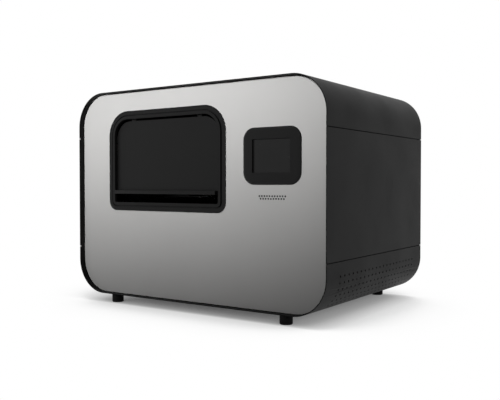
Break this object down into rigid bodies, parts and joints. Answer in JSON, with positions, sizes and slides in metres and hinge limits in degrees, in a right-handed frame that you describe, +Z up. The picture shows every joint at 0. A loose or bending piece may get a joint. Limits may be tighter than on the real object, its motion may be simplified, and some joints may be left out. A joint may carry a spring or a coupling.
{
  "type": "braille embosser",
  "caption": "Floor-standing braille embosser in a rounded black casing with a silver front, paper hatch, touch screen, hinged lid and tractor feed.",
  "frame": {"origin": "on the floor under the middle of the casing", "axes": "+Z up, the front faces -Y, +X to the right as seen from the front"},
  "size_m": [0.88, 0.645, 0.6445],
  "materials": {
    "casing_paint": "fine-textured black powder coat",
    "front_silver": "bead-blasted, silver anodised",
    "trim_plastic": "fine moulded texture",
    "screen_glass": "smooth dark touch panel",
    "foot_rubber": "matt",
    "liner_foam": "open-cell acoustic foam",
    "zinc_sheet": "zinc plated",
    "shaft_steel": "ground",
    "bronze_bush": "sintered",
    "cast_alloy": "machined casting",
    "black_lacquer": "black lacquer",
    "tractor_plastic": "moulded",
    "lever_blue": "moulded",
    "coil_copper": "wound and varnished",
    "board_green": "solder mask",
    "port_metal": "nickel plated"
  },
  "bodies": {
    "chassis": {"left_side_panel": "casing_paint", "right_side_panel": "casing_paint", "bottom_tray": "casing_paint", "rear_panel": "casing_paint", "front_plate": "front_silver", "hatch_bezel": "trim_plastic", "display_bezel": "trim_plastic", "speaker": "trim_plastic", "fan_frame": "trim_plastic", "power_inlet": "trim_plastic", "outfeed_guide": "trim_plastic", "touch_screen": "screen_glass", "feet": "foot_rubber", "lid_bumpers": "foot_rubber", "feed_belt": "foot_rubber", "carriage_belt": "foot_rubber", "base_plate": "zinc_sheet", "front_frame": "zinc_sheet", "rear_frame": "zinc_sheet", "side_rails": "zinc_sheet", "belt_brackets": "zinc_sheet", "infeed_guide": "zinc_sheet", "power_supply": "zinc_sheet", "hatch_hinge_pins": "shaft_steel", "rear_hinge_leaves": "shaft_steel", "lid_hinge_pins": "shaft_steel", "support_shaft": "shaft_steel", "guide_rods": "shaft_steel", "shaft_bushes": "bronze_bush", "feed_motor": "black_lacquer", "carriage_motor": "black_lacquer", "left_mech_plate": "black_lacquer", "right_mech_plate": "black_lacquer", "anvil_bar": "black_lacquer", "control_board": "board_green", "data_ports": "port_metal"},
    "lid": {"lid_cover": "casing_paint", "lid_liner": "liner_foam", "lid_hinge_leaves": "shaft_steel"},
    "hatch": {"hatch_flap": "trim_plastic"},
    "tractor_drive": {"tractor_shaft": "shaft_steel", "shaft_pulley": "shaft_steel"},
    "feed_spindle": {"motor_pulley": "shaft_steel"},
    "tractor_left": {"left_tractor": "tractor_plastic", "left_pin_belt": "foot_rubber"},
    "tractor_right": {"right_tractor": "tractor_plastic", "right_pin_belt": "foot_rubber"},
    "sprocket_left": {"left_sprocket": "tractor_plastic"},
    "sprocket_right": {"right_sprocket": "tractor_plastic"},
    "gate_left": {"left_gate": "tractor_plastic"},
    "gate_right": {"right_gate": "tractor_plastic"},
    "lever_left": {"left_lock_lever": "lever_blue"},
    "lever_right": {"right_lock_lever": "lever_blue"},
    "head": {"carriage": "cast_alloy", "solenoids": "coil_copper"},
    "dot_pins": {"emboss_pins": "shaft_steel"},
    "belt_drive": {"drive_pulley": "shaft_steel"},
    "belt_idler": {"idler_pulley": "shaft_steel"},
    "fan": {"fan_rotor": "trim_plastic"},
    "rocker": {"power_switch": "trim_plastic"}
  },
  "joints": [
    {"name": "lid_hinge", "type": "hinge", "parent": "chassis", "child": "lid", "pos_m": [0, 0.3135, 0.6335], "axis": [-1, 0, 0], "range_deg": [0, 72]},
    {"name": "hatch_hinge", "type": "hinge", "parent": "chassis", "child": "hatch", "pos_m": [-0.1, -0.298, 0.557], "axis": [-1, 0, 0], "range_deg": [0, 55]},
    {"name": "tractor_shaft_spin", "type": "hinge", "parent": "chassis", "child": "tractor_drive", "pos_m": [-0.1, -0.15, 0.296], "axis": [1, 0, 0], "continuous": true},
    {"name": "feed_spindle_spin", "type": "hinge", "parent": "chassis", "child": "feed_spindle", "pos_m": [0.14, -0.07, 0.2], "axis": [1, 0, 0], "continuous": true},
    {"name": "left_tractor_slide", "type": "slide", "parent": "chassis", "child": "tractor_left", "axis": [1, 0, 0], "range_m": [-0.03, 0.03]},
    {"name": "right_tractor_slide", "type": "slide", "parent": "chassis", "child": "tractor_right", "axis": [1, 0, 0], "range_m": [-0.12, 0.03]},
    {"name": "left_sprocket_spin", "type": "hinge", "parent": "tractor_left", "child": "sprocket_left", "pos_m": [-0.265, -0.15, 0.296], "axis": [1, 0, 0], "continuous": true},
    {"name": "right_sprocket_spin", "type": "hinge", "parent": "tractor_right", "child": "sprocket_right", "pos_m": [0.065, -0.15, 0.296], "axis": [1, 0, 0], "continuous": true},
    {"name": "left_gate_hinge", "type": "hinge", "parent": "tractor_left", "child": "gate_left", "pos_m": [-0.281, -0.1775, 0.3215], "axis": [0, -1, 0], "range_deg": [0, 100]},
    {"name": "right_gate_hinge", "type": "hinge", "parent": "tractor_right", "child": "gate_right", "pos_m": [0.081, -0.1775, 0.3215], "axis": [0, 1, 0], "range_deg": [0, 100]},
    {"name": "left_lock_turn", "type": "hinge", "parent": "tractor_left", "child": "lever_left", "pos_m": [-0.265, -0.205, 0.296], "axis": [-1, 0, 0], "range_deg": [0, 45]},
    {"name": "right_lock_turn", "type": "hinge", "parent": "tractor_right", "child": "lever_right", "pos_m": [0.065, -0.205, 0.296], "axis": [-1, 0, 0], "range_deg": [0, 45]},
    {"name": "carriage_slide", "type": "slide", "parent": "chassis", "child": "head", "axis": [1, 0, 0], "range_m": [0, 0.29]},
    {"name": "dot_pins_strike", "type": "slide", "parent": "head", "child": "dot_pins", "axis": [0, 0, -1], "range_m": [0, 0.001], "stiffness_N_per_m": 2000},
    {"name": "drive_pulley_spin", "type": "hinge", "parent": "chassis", "child": "belt_drive", "pos_m": [0.095, 0.112, 0.4], "axis": [0, 1, 0], "range_deg": [-5, 1115]},
    {"name": "idler_pulley_spin", "type": "hinge", "parent": "chassis", "child": "belt_idler", "pos_m": [-0.3, 0.112, 0.4], "axis": [0, 1, 0], "range_deg": [-5, 1115]},
    {"name": "fan_spin", "type": "hinge", "parent": "chassis", "child": "fan", "pos_m": [0.3, 0.29, 0.44], "axis": [0, 1, 0], "continuous": true},
    {"name": "power_rocker", "type": "hinge", "parent": "chassis", "child": "rocker", "pos_m": [0.35, 0.3015, 0.172], "axis": [1, 0, 0], "range_deg": [0, 16]}
  ],
  "couplings": [
    {"joint": "feed_spindle_spin", "follows": "tractor_shaft_spin", "ratio": 2},
    {"joint": "left_sprocket_spin", "follows": "tractor_shaft_spin", "ratio": 1},
    {"joint": "right_sprocket_spin", "follows": "tractor_shaft_spin", "ratio": 1},
    {"joint": "drive_pulley_spin", "follows": "carriage_slide", "rad_per_m": 66.445},
    {"joint": "idler_pulley_spin", "follows": "carriage_slide", "rad_per_m": 66.445}
  ]
}
